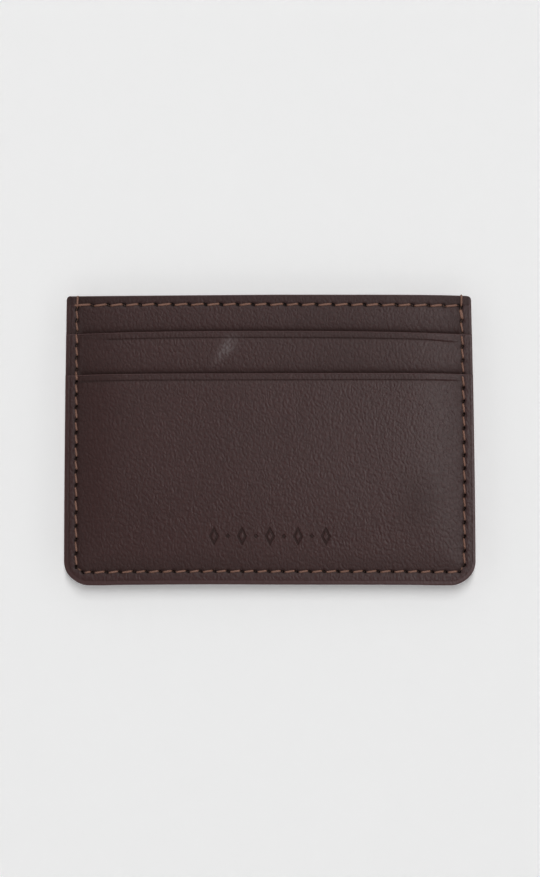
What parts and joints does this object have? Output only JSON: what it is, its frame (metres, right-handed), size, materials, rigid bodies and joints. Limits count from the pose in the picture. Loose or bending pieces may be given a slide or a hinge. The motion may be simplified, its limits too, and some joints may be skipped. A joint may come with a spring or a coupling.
{
  "type": "card wallet",
  "caption": "Flat leather card wallet with stepped card slots on both faces and a fabric-lined centre pocket that opens at the top edge.",
  "frame": {"origin": "centre of the footprint, on the surface the wallet lies on", "axes": "+X across the width, +Y towards the open top edge that cards go in by, +Z through the thickness from the back face to the front face"},
  "size_m": [0.1, 0.0704, 0.0044],
  "materials": {
    "leather": "satin, fine grain, dark brown",
    "lining": "fine twill, dark brown",
    "thread": "waxed twisted thread, tan",
    "edge_paint": "satin edge paint, reddish brown"
  },
  "bodies": {
    "root": {"front_lining": "lining", "back_lining": "lining", "front_panel": "leather", "back_panel": "leather", "front_upper_pocket": "leather", "back_upper_pocket": "leather", "front_lower_pocket": "leather", "back_lower_pocket": "leather", "perimeter_needle_thread": "thread", "perimeter_bobbin_thread": "thread", "front_top_stitching": "thread", "back_top_stitching": "thread", "front_pocket_floor_stitching": "thread", "back_pocket_floor_stitching": "thread", "perimeter_edge_coat": "edge_paint", "front_top_edge_coat": "edge_paint", "back_top_edge_coat": "edge_paint", "front_upper_mouth_coat": "edge_paint", "back_upper_mouth_coat": "edge_paint", "front_lower_mouth_coat": "edge_paint", "back_lower_mouth_coat": "edge_paint"}
  },
  "joints": []
}
